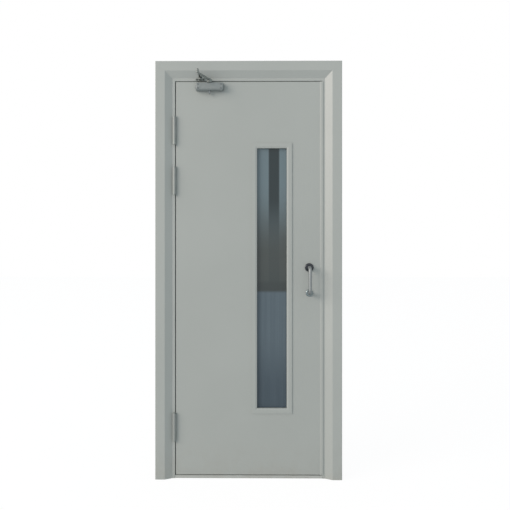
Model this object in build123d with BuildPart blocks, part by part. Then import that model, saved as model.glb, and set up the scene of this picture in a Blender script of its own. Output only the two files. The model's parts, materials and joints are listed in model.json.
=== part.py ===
from build123d import *
import os
from math import hypot

# A single-leaf steel fire door in its folded frame, hung on three butt hinges,
# with a narrow fire-glass panel, a pull handle and an overhead closer.
# Millimetres. X runs along the door towards the lock edge, Y goes back
# through the door, Z is up. The origin is on the floor, in the middle of
# the frame's width and depth. The door opens towards -Y.

os.makedirs("parts", exist_ok=True)

# Frame, outside sizes
frame_width = 937.0
frame_height = 2100.0
frame_depth = 110.0

# Folded section of the frame
frame_sheet = 1.5
frame_bend = 3.0
face_width = 48.0
slope_width = 36.0
slope_depth = 17.5
strip_width = 14.0
stop_height = 15.0
wall_lip = 15.0

# Share of a low head's height that its bevelled rim takes
head_bevel = 0.4

# Threshold
sill_height = 15.0
sill_stop_height = 10.0
sill_back_inset = 12.0
sill_foot = 15.0

# Leaf
leaf_thickness = 50.0
leaf_skin = 1.0
leaf_edge_radius = 2.0
side_gap = 4.0
head_gap = 3.0
sill_gap = 4.0
leaf_proud = 0.5
seal_gap = 3.0
stile_sheet = 1.5
stile_leg = 30.0

# Overlap strip on the lock edge of the leaf
overlap_inside = 7.0
overlap_outside = 9.5
overlap_thickness = 2.0

# Seals
stop_seal_width = 9.0
stop_seal_thickness = 2.6
fire_strip_width = 10.0
fire_strip_thickness = 1.5
fire_strip_setback = 8.0
strip_joint = 0.3

# Hinges
hinge_names = ("bottom", "middle", "top")
hinge_above_foot = 241.0
hinge_below_head = 246.0
upper_hinges_apart = 253.0
hinge_length = 140.0
barrel_radius = 8.0
barrel_clearance = 0.5
barrel_outset = 2.8
hinge_plate = 3.0
hinge_plate_depth = 34.0
hinge_corner = 6.0
knuckle_count = 3
knuckle_gap = 0.4
hinge_pin_radius = 4.0
running_clearance = 0.05
pin_head_height = 3.0
pin_head_step = 1.0
mortise_clearance = 0.2
thread_clearance = 0.1
backing_plate = 5.0
backing_margin = 12.0
hinge_screw_radius = 2.5
hinge_screw_head_radius = 4.6
hinge_screw_length = 8.0
hinge_screw_count = 4
hinge_screw_spacing = 34.0
hinge_screw_stagger = 14.0

# Vision panel
sight_width = 150.0
sight_height = 1310.0
sight_centre = 117.0
sight_bottom = 354.0
bead_flange = 18.0
bead_slope = 8.0
bead_rise = 4.0
bead_drop = 2.5
bead_sheet = 1.2
glass_thickness = 24.0
glass_cover = 10.0
glass_edge_clearance = 4.0
gasket_thickness = 2.0
bead_foot = 8.0
glass_arris = 1.0
lining_sheet = 1.5
lining_leg = 12.0
setting_block_length = 60.0
bead_screw_radius = 2.0
bead_screw_head_radius = 3.6
bead_screw_head = 1.8
bead_screw_inset = 6.0
bead_screws_high = 6

# Pull handle
handle_from_lock_edge = 61.5
handle_low = 935.0
handle_centres = 128.0
handle_bar_radius = 8.25
handle_reach = 59.0
handle_bend = 20.0
upper_rose_radius = 22.0
lower_rose_radius = 18.0
rose_thickness = 7.0
rose_edge = 2.0
rose_clearance = 0.3
handle_bolt_radius = 3.0
handle_bolt_bite = 18.0
handle_bolt_head_radius = 5.0
handle_bolt_head = 3.0
bolt_end_gap = 2.0
bolt_clearance = 0.5
back_cap_radius = 14.0
back_cap_thickness = 6.0
back_cap_edge = 1.5

# Closer body
closer_from_hinge = 108.3
closer_length = 140.0
closer_height = 39.5
closer_depth = 33.0
closer_below_top = 9.5
closer_end_radius = 7.0
closer_edge_radius = 11.0
closer_plate = 2.0
closer_plate_margin = 1.5
closer_plug_radius = 10.0
closer_plug_thickness = 2.0
closer_plug_hex = 5.0
closer_screw_radius = 2.5
closer_screw_head_radius = 4.5
closer_screw_head = 3.0
closer_screw_inset = 13.0
closer_screw_drop = 9.0
closer_support_sheet = 3.0
closer_support_drop = 12.0

# Closer spindle, arms and shoe
spindle_from_hinge = 177.5
spindle_from_leaf = 17.0
spindle_radius = 7.0
spindle_square = 8.0
spindle_stub = 17.0
stub_chamfer = 1.0
arm_thickness = 6.0
arm_above_leaf = 2.0
arm_hub_radius = 13.0
arm_elbow_radius = 7.0
arm_hub_clearance = 1.0
elbow_from_hinge = 132.0
elbow_out = 150.0
arm_gap = 0.3
arm_edge = 1.5
arm_screw_radius = 6.0
arm_screw_head = 3.0
arm_screw_socket = 2.5
elbow_screw_radius = 3.0
elbow_screw_head_radius = 5.0
elbow_screw_head = 2.5
forearm_lift = 7.6
forearm_tube_radius = 5.0
forearm_rod_radius = 3.0
forearm_rod_bite = 30.0
forearm_tube_length = 62.0
forearm_neck = 10.0
forearm_neck_width = 8.0
forearm_nut_length = 6.0
forearm_nut_across = 10.0
forearm_eye = 8.0
forearm_eye_radius = 6.5
shoe_from_hinge = 130.0
shoe_out = 20.0
shoe_plate_width = 48.0
shoe_plate_height = 12.0
shoe_plate_thickness = 3.0
shoe_fork_width = 16.0
shoe_cheek = 4.0
shoe_web = 4.6
shoe_pin_radius = 3.0
shoe_pin_head = 1.5
shoe_pin_head_radius = 4.5
shoe_slot_clearance = 1.0
shoe_plate_corner = 3.0
shoe_screw_radius = 2.0
shoe_screw_head_radius = 3.8
shoe_screw_head = 1.6
shoe_screw_length = 9.0
shoe_screw_inset = 7.0

# Fixings that hold the frame to the building
fixing_count = 4
fixing_above_floor = 300.0
fixing_below_top = 150.0
fixing_hole_radius = 5.5
fixing_sleeve_wall = 1.5
fixing_from_back = 30.0
anchor_above_floor = 200.0
anchor_below_top = 250.0
anchor_width = 30.0
anchor_sheet = 2.0

# Places worked out from the sizes above
half_width = frame_width / 2
front_y = -frame_depth / 2
back_y = frame_depth / 2
frame_sight = face_width + slope_width + strip_width
rebate_x = half_width - frame_sight
head_rebate_z = frame_height - frame_sight
strip_y = front_y + slope_depth
leaf_front_y = strip_y - leaf_proud
leaf_back_y = leaf_front_y + leaf_thickness
stop_y = leaf_back_y + seal_gap
leaf_right = rebate_x - side_gap
leaf_left = -leaf_right
leaf_bottom = sill_height + sill_gap
leaf_top = head_rebate_z - head_gap
leaf_middle_y = (leaf_front_y + leaf_back_y) / 2
hinge_x = -rebate_x - barrel_outset
hinge_y = strip_y - barrel_clearance - barrel_radius
top_hinge_z = leaf_top - hinge_below_head
hinge_heights = (leaf_bottom + hinge_above_foot, top_hinge_z - upper_hinges_apart, top_hinge_z)
fixing_step = (frame_height - fixing_below_top - fixing_above_floor) / (fixing_count - 1)
fixing_heights = [fixing_above_floor + index * fixing_step for index in range(fixing_count)]
anchor_heights = (anchor_above_floor, frame_height / 2, frame_height - anchor_below_top)


def span(x, y, z, mode=Mode.ADD):
    """A block between two values on each axis."""
    middle = [(low + high) / 2 for low, high in (x, y, z)]
    with Locations(tuple(middle)):
        Box(x[1] - x[0], y[1] - y[0], z[1] - z[0], mode=mode)


def widened(limits, margin):
    """A pair of limits moved apart by a margin at each end."""
    return (limits[0] - margin, limits[1] + margin)


def drill(x, y, z, radius):
    """A round hole along Y through whatever is being made."""
    with Locations(Location((x, (y[0] + y[1]) / 2, z), (90, 0, 0))):
        Cylinder(radius, y[1] - y[0], mode=Mode.SUBTRACT)


# Frame members
# The section runs from the wall lip at the front, over the flat face, down
# the slope to the strip beside the leaf, back along the rebate, round the
# door stop and across the back to the rear wall lip. Its first coordinate is
# the distance in from the frame's outer edge, the second the distance back.
section_points = (
    (0, wall_lip),
    (0, 0),
    (face_width, 0),
    (face_width + slope_width, slope_depth),
    (frame_sight, slope_depth),
    (frame_sight, stop_y - front_y),
    (frame_sight + stop_height, stop_y - front_y),
    (frame_sight + stop_height, frame_depth),
    (0, frame_depth),
    (0, frame_depth - wall_lip),
)


def folded_section(plane):
    """The frame's sheet in section, drawn on the given plane."""
    with BuildSketch(plane) as section:
        with BuildLine():
            FilletPolyline(*section_points, radius=frame_bend)
            offset(amount=frame_sheet, side=Side.LEFT)
        make_face()
    return section.sketch


jamb_plane = Plane(origin=(-half_width, front_y, 0), x_dir=(1, 0, 0), z_dir=(0, 0, 1))
head_plane = Plane(origin=(-half_width, front_y, frame_height), x_dir=(0, 0, -1), z_dir=(1, 0, 0))
left_mitre = Plane(origin=(-half_width, 0, frame_height), z_dir=(1, 0, 1))
right_mitre = Plane(origin=(half_width, 0, frame_height), z_dir=(-1, 0, 1))
fixing_y = back_y - fixing_from_back
stop_face_x = rebate_x - stop_height

with BuildPart() as plain_jamb:
    extrude(folded_section(jamb_plane), amount=frame_height)
    split(bisect_by=left_mitre, keep=Keep.BOTTOM)
    for height in fixing_heights:
        with Locations(Location((-stop_face_x - frame_sheet / 2, fixing_y, height), (0, 90, 0))):
            Cylinder(fixing_hole_radius, 2 * frame_sheet, mode=Mode.SUBTRACT)

plate_top = hinge_length / 2
frame_plate_face = -rebate_x + hinge_plate - frame_sheet
plate_front_y = hinge_y + barrel_radius + barrel_clearance
mortise_back_y = plate_front_y + hinge_plate_depth + mortise_clearance


def mortise_z(height):
    """Height range of the opening for one hinge plate."""
    reach = plate_top + mortise_clearance
    return (height - reach, height + reach)


with BuildPart() as jamb_hinge_side:
    add(plain_jamb.part)
    for height in hinge_heights:
        mortise_x = (-rebate_x - frame_sheet, frame_plate_face)
        span(mortise_x, (strip_y, mortise_back_y), mortise_z(height), mode=Mode.SUBTRACT)

with BuildPart() as jamb_lock_side:
    add(plain_jamb.part.mirror(Plane.YZ))

# The head also carries the closer's shoe on its strip.
shoe_x = hinge_x + shoe_from_hinge
shoe_z = head_rebate_z + strip_width / 2
shoe_screw_x = widened((shoe_x, shoe_x), shoe_plate_width / 2 - shoe_screw_inset)

with BuildPart() as frame_head:
    extrude(folded_section(head_plane), amount=frame_width)
    split(bisect_by=left_mitre, keep=Keep.TOP)
    split(bisect_by=right_mitre, keep=Keep.TOP)
    for x in shoe_screw_x:
        drill(x, (strip_y, strip_y + frame_sheet), shoe_z, shoe_screw_radius + thread_clearance)

# The threshold is a folded step on two turned-in feet: a low face in line
# with the leaf, a flat under the leaf, and a stop behind it. Its rear half
# passes between the door stops of the jambs, its front half between the
# rebates.
sill_back_y = back_y - sill_back_inset
sill_points = (
    (strip_y + sill_foot, 0),
    (strip_y, 0),
    (strip_y, sill_height),
    (stop_y, sill_height),
    (stop_y, sill_height + sill_stop_height),
    (sill_back_y, sill_height + sill_stop_height),
    (sill_back_y, 0),
    (sill_back_y - sill_foot, 0),
)
sill_plane = Plane(origin=(-rebate_x, 0, 0), x_dir=(0, 1, 0), z_dir=(1, 0, 0))
with BuildPart() as threshold:
    with BuildSketch(sill_plane):
        with BuildLine():
            FilletPolyline(*sill_points, radius=frame_bend)
            offset(amount=frame_sheet, side=Side.RIGHT)
        make_face()
    extrude(amount=2 * rebate_x)
    for side in (-1, 1):
        notch_x = sorted((side * rebate_x, side * stop_face_x))
        span(notch_x, (stop_y - frame_bend, back_y), (0, frame_sight), mode=Mode.SUBTRACT)

# Tubes welded inside the jambs keep the section from crushing when the wall
# bolts are pulled tight. Straps across the open back tie it into the wall.
sleeve_radius = fixing_hole_radius + fixing_sleeve_wall
sleeve_length = frame_sight + stop_height - frame_sheet

with BuildPart() as fixing_sleeves:
    for side in (-1, 1):
        for height in fixing_heights:
            with BuildSketch(Plane((side * half_width, fixing_y, height), z_dir=(-side, 0, 0))):
                Circle(sleeve_radius)
                Circle(fixing_hole_radius, mode=Mode.SUBTRACT)
            extrude(amount=sleeve_length)

with BuildPart() as wall_anchors:
    inner_side = half_width - frame_sheet
    for strap_x in ((-inner_side, anchor_sheet - inner_side), (inner_side - anchor_sheet, inner_side)):
        for height in anchor_heights:
            strap_z = (height - anchor_width / 2, height + anchor_width / 2)
            span(strap_x, (front_y + wall_lip / 2, back_y - wall_lip / 2), strap_z)


# Seals of the frame
# Rubber strips stand on the door stop, and strips that swell in a fire are
# stuck to the rebate beside the back half of the leaf.
head_stop_z = head_rebate_z - stop_height
stop_seal_x = (stop_face_x + rebate_x) / 2
head_seal_z = (head_stop_z + head_rebate_z) / 2
seal_half = stop_seal_width / 2
seal_y = (stop_y - stop_seal_thickness, stop_y)
jamb_seal_z = (sill_height + sill_stop_height, head_seal_z - seal_half)
strip_y_range = (stop_y - fire_strip_setback - fire_strip_width, stop_y - fire_strip_setback)
strip_inner_x = rebate_x - fire_strip_thickness
strip_inner_z = head_rebate_z - fire_strip_thickness


def stop_seal(x, z, length_axis):
    """A rubber strip on the door stop, rounded towards the leaf."""
    with BuildPart() as seal:
        span(x, seal_y, z)
        front = seal.faces().sort_by(Axis.Y)[0]
        fillet(front.edges().filter_by(length_axis), radius=stop_seal_thickness / 2)
    return seal.part


with BuildPart() as fire_strips:
    span((-rebate_x, -strip_inner_x), strip_y_range, (sill_height, strip_inner_z - strip_joint))
    span((strip_inner_x, rebate_x), strip_y_range, (sill_height, strip_inner_z - strip_joint))
    span((-rebate_x, rebate_x), strip_y_range, (strip_inner_z, head_rebate_z))


# Hinges
# Each hinge has a plate let into the rebate of the jamb, a plate let into
# the edge of the leaf, and a loose pin through both sets of knuckles.
knuckle_pitch = hinge_length / knuckle_count
knuckle_length = knuckle_pitch - knuckle_gap
leaf_plate_inner = leaf_left + leaf_skin
leaf_plate_face = leaf_plate_inner - hinge_plate
backing_y = (strip_y + frame_sheet + frame_bend, plate_front_y + hinge_plate_depth)
screw_y = (backing_y[0] + backing_y[1]) / 2


def screw_spots(x, height, turn):
    """Places of the screws of one hinge plate, in a zigzag."""
    for index in range(hinge_screw_count):
        aside = hinge_screw_stagger / 2 if index % 2 == 0 else -hinge_screw_stagger / 2
        above = (index - (hinge_screw_count - 1) / 2) * hinge_screw_spacing
        yield Location((x, screw_y + aside, height + above), (0, turn, 0))


def hinge_half(height, plate_x, face_x, turn, first_knuckle):
    """One plate with its knuckles, bored for the pin and the screws."""
    low_z = height - plate_top
    with BuildPart() as half:
        span(plate_x, (plate_front_y, plate_front_y + hinge_plate_depth), (low_z, height + plate_top))
        fillet(half.edges().filter_by(Axis.X).group_by(Axis.Y)[-1], radius=hinge_corner)
        for index in range(first_knuckle, knuckle_count, 2):
            foot = low_z + index * knuckle_pitch + knuckle_gap / 2
            span(plate_x, (hinge_y, plate_front_y), (foot, foot + knuckle_length))
            with BuildSketch(Plane((hinge_x, hinge_y, foot))):
                Circle(barrel_radius)
            extrude(amount=knuckle_length)
        with Locations((hinge_x, hinge_y, height)):
            Cylinder(hinge_pin_radius + running_clearance, hinge_length, mode=Mode.SUBTRACT)
        with Locations(*screw_spots(face_x, height, turn)):
            CounterSinkHole(
                hinge_screw_radius + thread_clearance,
                hinge_screw_head_radius,
                depth=hinge_plate,
                counter_sink_angle=90,
            )
    return half.part


def flat_screw(radius, head_radius, length):
    """A screw with a countersunk head, pointing down from the origin."""
    shoulder = radius - head_radius
    with BuildPart() as screw:
        with BuildSketch(Plane.XZ):
            with BuildLine():
                Polyline((0, 0), (head_radius, 0), (radius, shoulder), (radius, -length), (0, -length), (0, 0))
            make_face()
        revolve(axis=Axis.Z)
    return screw.part


def round_screw(radius, head_radius, head, length):
    """A screw with a low bevelled head that stands on the origin's plane."""
    with BuildPart() as screw:
        with BuildSketch():
            Circle(head_radius)
        extrude(amount=head)
        chamfer(screw.edges().group_by(Axis.Z)[-1], length=head * head_bevel)
        with BuildSketch():
            Circle(radius)
        extrude(amount=-length)
    return screw.part


def screw_group(screw, spots):
    """Copies of one screw at many places, as separate solids."""
    with BuildPart() as group:
        with Locations(*spots):
            add(screw)
    return group.part


def hinge_screws(face_x, turn):
    """The countersunk screws of one side of all three hinges."""
    screw = flat_screw(hinge_screw_radius, hinge_screw_head_radius, hinge_screw_length)
    spots = [spot for height in hinge_heights for spot in screw_spots(face_x, height, turn)]
    return screw_group(screw, spots)


def backing_plates(x):
    """Thick plates behind the sheet that the hinge screws bite into."""
    reach = plate_top + backing_margin
    with BuildPart() as plates:
        for height in hinge_heights:
            span(x, backing_y, (height - reach, height + reach))
            with Locations(*screw_spots((x[0] + x[1]) / 2, height, 90)):
                Cylinder(hinge_screw_radius + thread_clearance, backing_plate, mode=Mode.SUBTRACT)
    return plates.part


def hinge_pin(height):
    """A pin with a bevelled head above and below the barrel."""
    with BuildPart() as pin:
        with Locations((hinge_x, hinge_y, height)):
            Cylinder(hinge_pin_radius, hinge_length)
        for end in (-1, 1):
            with BuildSketch(Plane((hinge_x, hinge_y, height + end * plate_top), z_dir=(0, 0, end))):
                Circle(barrel_radius - pin_head_step)
            extrude(amount=pin_head_height)
        rims = pin.edges().group_by(Axis.Z)
        chamfer(rims[0] + rims[-1], length=pin_head_height * head_bevel)
    return pin.part


# Leaf
# Two steel trays meet edge to edge half way through the thickness. Folded
# channels run round the inside, and mineral board fills the rest.
leaf_x = (leaf_left, leaf_right)
leaf_z = (leaf_bottom, leaf_top)
inner_x = (leaf_left + leaf_skin, leaf_right - leaf_skin)
inner_y = (leaf_front_y + leaf_skin, leaf_back_y - leaf_skin)
inner_z = (leaf_bottom + leaf_skin, leaf_top - leaf_skin)
inner_fold = leaf_edge_radius - leaf_skin
handle_x = leaf_right - handle_from_lock_edge
handle_heights = (handle_low, handle_low + handle_centres)

# The cut-out for the glass is lined by a channel whose legs lie behind the
# skins, where the bead screws bite.
sight_x = (sight_centre - sight_width / 2, sight_centre + sight_width / 2)
sight_z = (sight_bottom, sight_bottom + sight_height)


glass_x = widened(sight_x, glass_cover)
glass_z = widened(sight_z, glass_cover)
cutout_x = widened(glass_x, glass_edge_clearance)
cutout_z = widened(glass_z, glass_edge_clearance)
lined_x = widened(cutout_x, lining_sheet)
lined_z = widened(cutout_z, lining_sheet)
sight_middle_z = (sight_z[0] + sight_z[1]) / 2
bead_reach = bead_flange + bead_slope
bead_screw_x = widened(sight_x, bead_reach - bead_screw_inset)
bead_screw_step = sight_height / bead_screws_high
bead_screw_z = [sight_z[0] + bead_screw_step * (index + 0.5) for index in range(bead_screws_high)]
bead_screw_length = bead_rise + leaf_skin + lining_sheet

# The closer sits on the front skin, at the hinge end of the top edge.
closer_x = (hinge_x + closer_from_hinge, hinge_x + closer_from_hinge + closer_length)
closer_top = leaf_top - closer_below_top
closer_z = (closer_top - closer_height, closer_top)
closer_y = (leaf_front_y - closer_depth, leaf_front_y - closer_plate)
closer_screw_x = widened(closer_x, -closer_screw_inset)
closer_screw_z = widened(closer_z, -closer_screw_drop)
closer_screw_y = (closer_y[0] + closer_screw_head, inner_y[0] + closer_support_sheet)


def drill_handle_bolts(y):
    """Holes for the two handle bolts over part of the leaf's thickness."""
    for height in handle_heights:
        drill(handle_x, y, height, handle_bolt_radius + bolt_clearance)


def drill_bead_screws(y):
    """Holes for the screws of the rear glazing bead."""
    for x in bead_screw_x:
        for z in bead_screw_z:
            drill(x, y, z, bead_screw_radius + thread_clearance)


def drill_closer_screws(y):
    """Holes for the four screws that hold the closer."""
    for x in closer_screw_x:
        for z in closer_screw_z:
            drill(x, y, z, closer_screw_radius + thread_clearance)


def leaf_tray(outer_y, seam_y):
    """One skin of the leaf: a flat sheet with its four edges turned in."""
    y = sorted((outer_y, seam_y))
    with BuildPart() as tray:
        span(leaf_x, y, leaf_z)
        outer = tray.faces().filter_by(Axis.Y).sort_by(Axis.Y, reverse=outer_y > seam_y)[0]
        fillet(outer.edges(), radius=leaf_edge_radius)
        mouth = tray.faces().filter_by(Axis.Y).sort_by(Axis.Y, reverse=outer_y > seam_y)[-1]
        offset(amount=-leaf_skin, openings=mouth)
        span(cutout_x, y, cutout_z, mode=Mode.SUBTRACT)
        for height in hinge_heights:
            mortise_x = (leaf_left, leaf_plate_inner)
            span(mortise_x, (leaf_front_y, mortise_back_y), mortise_z(height), mode=Mode.SUBTRACT)
        drill_handle_bolts(y)
        if outer_y < seam_y:
            drill_closer_screws(y)
        else:
            drill_bead_screws(y)
    return tray.part


def stile(edge_x, inward):
    """An upright channel inside one edge of the leaf, open to the core."""
    hollow_x = sorted((edge_x + inward * stile_sheet, edge_x + inward * stile_leg))
    with BuildPart() as channel:
        span(sorted((edge_x, edge_x + inward * stile_leg)), inner_y, inner_z)
        for face in channel.faces().filter_by(Axis.Y):
            open_side = face.edges().filter_by(Axis.Z).sort_by(Axis.X)[-1 if inward > 0 else 0]
            fillet(face.edges() - [open_side], radius=inner_fold)
        span(hollow_x, widened(inner_y, -stile_sheet), inner_z, mode=Mode.SUBTRACT)
        if inward > 0:
            for height in hinge_heights:
                with Locations(*screw_spots(edge_x, height, 90)):
                    Cylinder(hinge_screw_radius + thread_clearance, stile_leg, mode=Mode.SUBTRACT)
    return channel.part


def rail(edge_z, inward):
    """A level channel between the stiles, at the top or foot of the leaf."""
    x = widened(inner_x, -stile_leg)
    hollow_z = sorted((edge_z + inward * stile_sheet, edge_z + inward * stile_leg))
    with BuildPart() as channel:
        span(x, inner_y, sorted((edge_z, edge_z + inward * stile_leg)))
        outer_face = channel.faces().filter_by(Axis.Z).sort_by(Axis.Z)[0 if inward > 0 else -1]
        fillet(outer_face.edges().filter_by(Axis.X), radius=inner_fold)
        span(x, widened(inner_y, -stile_sheet), hollow_z, mode=Mode.SUBTRACT)
        if inward < 0:
            drill_closer_screws(closer_screw_y)
    return channel.part


stile_hinge_side = stile(inner_x[0], 1)
stile_lock_side = stile(inner_x[1], -1)
rail_top = rail(inner_z[1], -1)
rail_bottom = rail(inner_z[0], 1)
leaf_backing_x = (inner_x[0] + stile_sheet, inner_x[0] + stile_sheet + backing_plate)

with BuildPart() as closer_support:
    support_z = (closer_z[0] - closer_support_drop, inner_z[1] - stile_leg)
    support_y = (inner_y[0], inner_y[0] + closer_support_sheet)
    span(widened(closer_x, closer_support_drop), support_y, support_z)
    drill_closer_screws(closer_screw_y)

with BuildPart() as vision_lining:
    span(widened(lined_x, lining_leg), inner_y, widened(lined_z, lining_leg))
    between_legs = widened(inner_y, -lining_sheet)
    span(widened(lined_x, lining_leg), between_legs, widened(lined_z, lining_leg), mode=Mode.SUBTRACT)
    span(lined_x, inner_y, lined_z)
    span(cutout_x, inner_y, cutout_z, mode=Mode.SUBTRACT)
    drill_bead_screws((inner_y[1] - lining_sheet, inner_y[1]))

with BuildPart() as leaf_core:
    span(inner_x, inner_y, inner_z)
    span(cutout_x, inner_y, cutout_z, mode=Mode.SUBTRACT)
    for piece in (stile_hinge_side, stile_lock_side, rail_top, rail_bottom):
        add(piece, mode=Mode.SUBTRACT)
    add(closer_support.part, mode=Mode.SUBTRACT)
    add(vision_lining.part, mode=Mode.SUBTRACT)
    for height in hinge_heights:
        reach = plate_top + backing_margin
        span(leaf_backing_x, backing_y, (height - reach, height + reach), mode=Mode.SUBTRACT)
    drill_handle_bolts(inner_y)
    drill_closer_screws(closer_screw_y)
    drill_bead_screws((inner_y[1] - lining_sheet, inner_y[1]))
    core_piece = leaf_core.solids().sort_by(SortBy.VOLUME)[-1]
    add(core_piece, mode=Mode.REPLACE)

# The overlap strip covers the gap along the lock edge while the door is shut.
with BuildPart() as lock_edge_strip:
    strip_x = (leaf_right - overlap_inside, leaf_right + overlap_outside)
    span(strip_x, (leaf_front_y - overlap_thickness, leaf_front_y), leaf_z)
    fillet(lock_edge_strip.edges().filter_by(Axis.Z).group_by(Axis.Y)[0], radius=overlap_thickness / 2)

# Vision panel
# The bead is a folded strip: a lip that stands on the skin, a raised flange
# that hides the edge of the cut-out, a slope down to the sight line, a leg
# back to the glass and a foot that presses on the gasket. It runs round the
# opening with mitred corners.
glass_y = (leaf_middle_y - glass_thickness / 2, leaf_middle_y + glass_thickness / 2)
bead_front_y = leaf_front_y - bead_rise
bead_edge_y = bead_front_y + bead_drop
foot_y = glass_y[0] - gasket_thickness
mid_leaf = Plane((0, leaf_middle_y, 0), z_dir=(0, 1, 0))

with BuildPart() as glazing_bead_front:
    with BuildLine(Plane((sight_centre, 0, sight_middle_z), x_dir=(1, 0, 0), z_dir=(0, -1, 0))) as round_sight:
        across = sight_width / 2
        up = sight_height / 2
        Polyline((across, 0), (across, up), (-across, up), (-across, -up), (across, -up), (across, 0))
    with BuildSketch(Plane((sight_x[1], 0, sight_middle_z))):
        with BuildLine():
            Polyline(
                (bead_reach, leaf_front_y),
                (bead_reach, bead_front_y),
                (bead_slope, bead_front_y),
                (0, bead_edge_y),
                (0, foot_y),
                (bead_foot, foot_y),
            )
            offset(amount=bead_sheet, side=Side.RIGHT)
        make_face()
    sweep(path=round_sight.wire(), transition=Transition.RIGHT)

with BuildPart() as glazing_bead_back:
    add(glazing_bead_front.part.mirror(mid_leaf))
    drill_bead_screws((leaf_back_y, leaf_back_y + bead_rise))

with BuildPart() as fire_glass:
    span(glass_x, glass_y, glass_z)
    for face in (fire_glass.faces().sort_by(Axis.Y)[0], fire_glass.faces().sort_by(Axis.Y)[-1]):
        chamfer(face.edges(), length=glass_arris)

with BuildPart() as glazing_gasket_front:
    span(widened(sight_x, bead_foot), (foot_y, glass_y[0]), widened(sight_z, bead_foot))
    span(sight_x, (foot_y, glass_y[0]), sight_z, mode=Mode.SUBTRACT)

with BuildPart() as glass_setting_blocks:
    for x in widened((sight_centre, sight_centre), sight_width / 4):
        block_x = (x - setting_block_length / 2, x + setting_block_length / 2)
        span(block_x, widened(glass_y, -glass_arris), (cutout_z[0], glass_z[0]))

bead_screw = round_screw(bead_screw_radius, bead_screw_head_radius, bead_screw_head, bead_screw_length)
back_facing = (-90, 0, 0)
bead_screw_face = leaf_back_y + bead_rise
bead_screw_spots = [Location((x, bead_screw_face, z), back_facing) for x in bead_screw_x for z in bead_screw_z]

# Pull handle
# One bent round bar. Each end passes through a rose and meets the skin,
# where a bolt from the back holds it.
rose_y = leaf_front_y - rose_thickness

with BuildPart() as pull_handle:
    with BuildLine(Plane((handle_x, leaf_front_y, handle_low), x_dir=(0, -1, 0), z_dir=(1, 0, 0))) as bar_line:
        FilletPolyline(
            (0, 0),
            (handle_reach, 0),
            (handle_reach, -handle_centres),
            (0, -handle_centres),
            radius=handle_bend,
        )
    with BuildSketch(Plane((handle_x, leaf_front_y, handle_low), z_dir=(0, -1, 0))):
        Circle(handle_bar_radius)
    sweep(path=bar_line.wire())
    for height in handle_heights:
        bite = (leaf_front_y - handle_bolt_bite, leaf_front_y)
        drill(handle_x, bite, height, handle_bolt_radius + thread_clearance)


def handle_rose(height, radius):
    """A round cover with a softened rim, bored for the bar."""
    with BuildPart() as rose:
        with BuildSketch(Plane((handle_x, leaf_front_y, height), z_dir=(0, -1, 0))):
            Circle(radius)
        extrude(amount=rose_thickness)
        fillet(rose.edges().group_by(Axis.Y)[0], radius=rose_edge)
        drill(handle_x, (rose_y, leaf_front_y), height, handle_bar_radius + rose_clearance)
    return rose.part


bolt_length = handle_bolt_bite + leaf_thickness - bolt_end_gap
with BuildPart() as handle_bolts:
    for height in handle_heights:
        with BuildSketch(Plane((handle_x, leaf_back_y, height), z_dir=(0, -1, 0))):
            Circle(handle_bolt_radius)
        extrude(amount=bolt_length)
        with BuildSketch(Plane((handle_x, leaf_back_y, height), z_dir=(0, 1, 0))):
            Circle(handle_bolt_head_radius)
        extrude(amount=handle_bolt_head)

with BuildPart() as handle_back_caps:
    for height in handle_heights:
        with BuildSketch(Plane((handle_x, leaf_back_y, height), z_dir=(0, 1, 0))):
            Circle(back_cap_radius)
        extrude(amount=back_cap_thickness)
    chamfer(handle_back_caps.edges().group_by(Axis.Y)[-1], length=back_cap_edge)
    for height in handle_heights:
        drill(
            handle_x,
            (leaf_back_y, leaf_back_y + handle_bolt_head),
            height,
            handle_bolt_head_radius + thread_clearance,
        )

# Closer body
# A cast block on a thin plate, with well rounded long edges and softer ends.
# The spindle passes right through it from top to bottom, so that it suits
# either hand.
spindle_x = hinge_x + spindle_from_hinge
spindle_y = leaf_front_y - spindle_from_leaf
plug_y = closer_y[1] - (closer_y[1] - closer_y[0] - closer_end_radius) / 2
closer_middle_z = (closer_z[0] + closer_z[1]) / 2

with BuildPart() as closer_body:
    span(closer_x, closer_y, closer_z)
    fillet(closer_body.edges().filter_by(Axis.X).group_by(Axis.Y)[0], radius=closer_edge_radius)
    back_edges = closer_body.faces().sort_by(Axis.Y)[-1].edges()
    end_edges = closer_body.faces().filter_by(Axis.X).edges()
    fillet(end_edges - back_edges, radius=closer_end_radius)
    with Locations((spindle_x, spindle_y, closer_middle_z)):
        Cylinder(spindle_radius + running_clearance, closer_height, mode=Mode.SUBTRACT)
    for x in closer_screw_x:
        for z in closer_screw_z:
            drill(x, closer_y, z, closer_screw_radius + thread_clearance)
            drill(x, (closer_y[0], closer_screw_y[0]), z, closer_screw_head_radius + thread_clearance)

with BuildPart() as closer_plugs:
    for side, end_x in ((-1, closer_x[0]), (1, closer_x[1])):
        plug_seat = Plane((end_x, plug_y, closer_middle_z), z_dir=(side, 0, 0))
        with BuildSketch(plug_seat):
            Circle(closer_plug_radius)
        extrude(amount=closer_plug_thickness)
        with BuildSketch(plug_seat.offset(closer_plug_thickness)):
            RegularPolygon(closer_plug_hex, 6)
        extrude(amount=-closer_plug_thickness / 2, mode=Mode.SUBTRACT)

with BuildPart() as closer_mounting_plate:
    plate_x = widened(closer_x, -closer_plate_margin)
    span(plate_x, (closer_y[1], leaf_front_y), widened(closer_z, -closer_plate_margin))
    drill_closer_screws((closer_y[1], leaf_front_y))

front_facing = (90, 0, 0)
closer_screw = round_screw(
    closer_screw_radius,
    closer_screw_head_radius,
    closer_screw_head - thread_clearance,
    closer_screw_y[1] - closer_screw_y[0],
)
closer_screw_spots = [
    Location((x, closer_screw_y[0], z), front_facing) for x in closer_screw_x for z in closer_screw_z
]

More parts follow.
